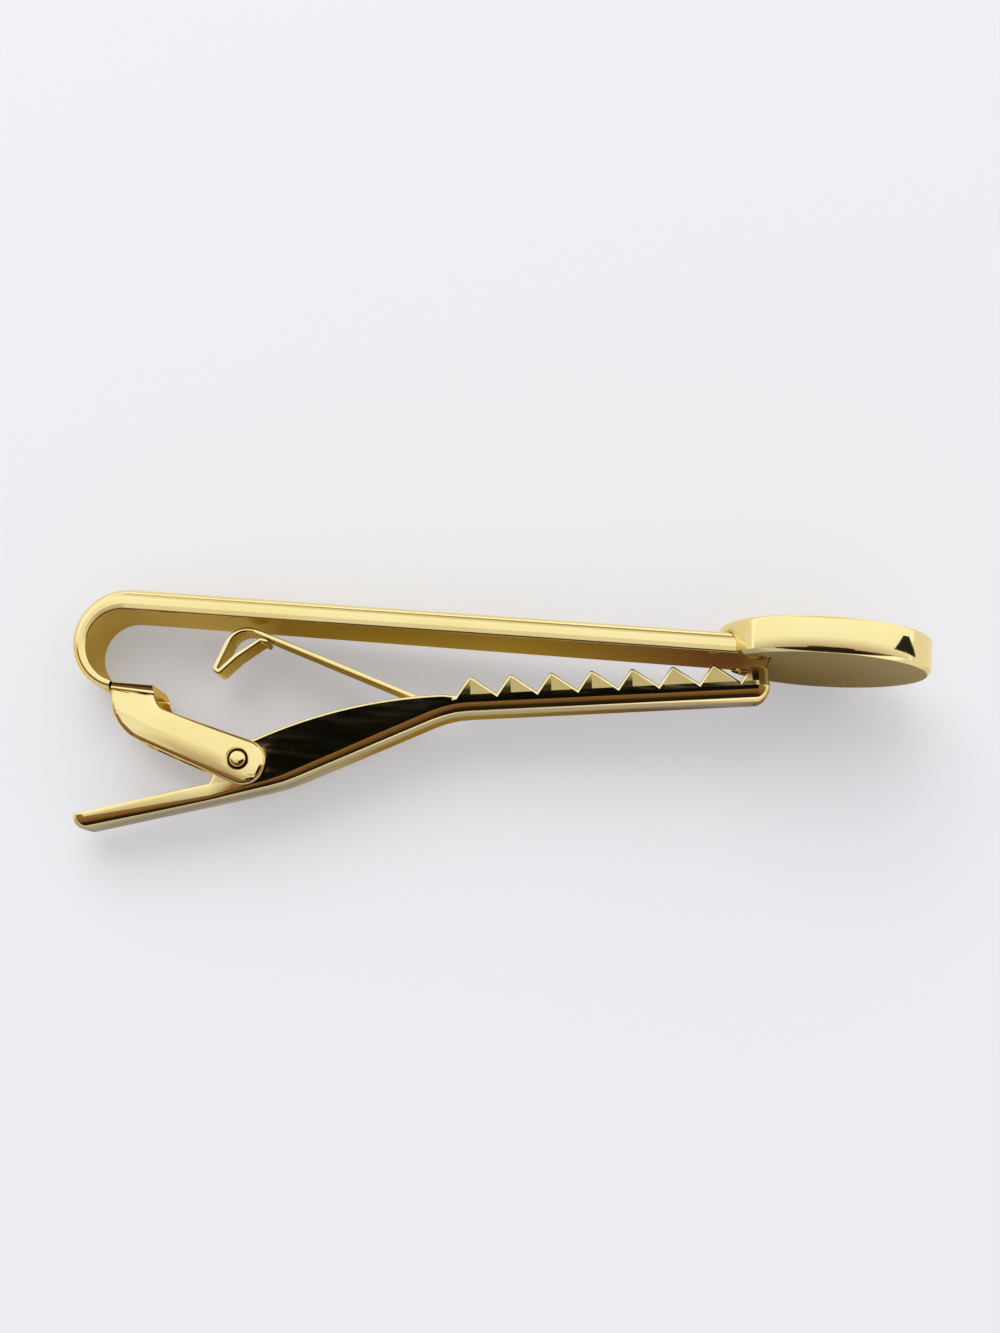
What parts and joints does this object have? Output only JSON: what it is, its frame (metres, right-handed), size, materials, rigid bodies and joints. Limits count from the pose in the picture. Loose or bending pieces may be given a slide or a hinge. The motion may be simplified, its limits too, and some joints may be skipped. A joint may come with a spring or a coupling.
{
  "type": "tie clip",
  "caption": "Gold-plated tie clip: a rounded bar bent back on itself, a sprung toothed jaw with a finger tab on a cross pin, and a plain round disc on the open end.",
  "frame": {"origin": "middle of the clip's box in X and Y, at the level of the lowest point of the disc's rim", "axes": "+X along the bar from the bend to the disc, +Y out of the bar's front, +Z along the clip's width; the clip lies on its side"},
  "size_m": [0.0604, 0.018, 0.0149],
  "materials": {
    "gold_plate": "polished gold plate"
  },
  "bodies": {
    "frame": {"front_bar": "gold_plate", "hinge_bracket": "gold_plate", "pivot_pin": "gold_plate", "emblem_disc": "gold_plate"},
    "jaw": {"jaw": "gold_plate", "leaf_spring": "gold_plate"}
  },
  "joints": [
    {"name": "jaw_pivot", "type": "hinge", "parent": "frame", "child": "jaw", "pos_m": [-0.01753, -0.00321, 0.00745], "axis": [0, 0, -1], "range_deg": [0, 44], "stiffness_Nm_per_rad": 0.05, "springref_deg": -28.65}
  ]
}
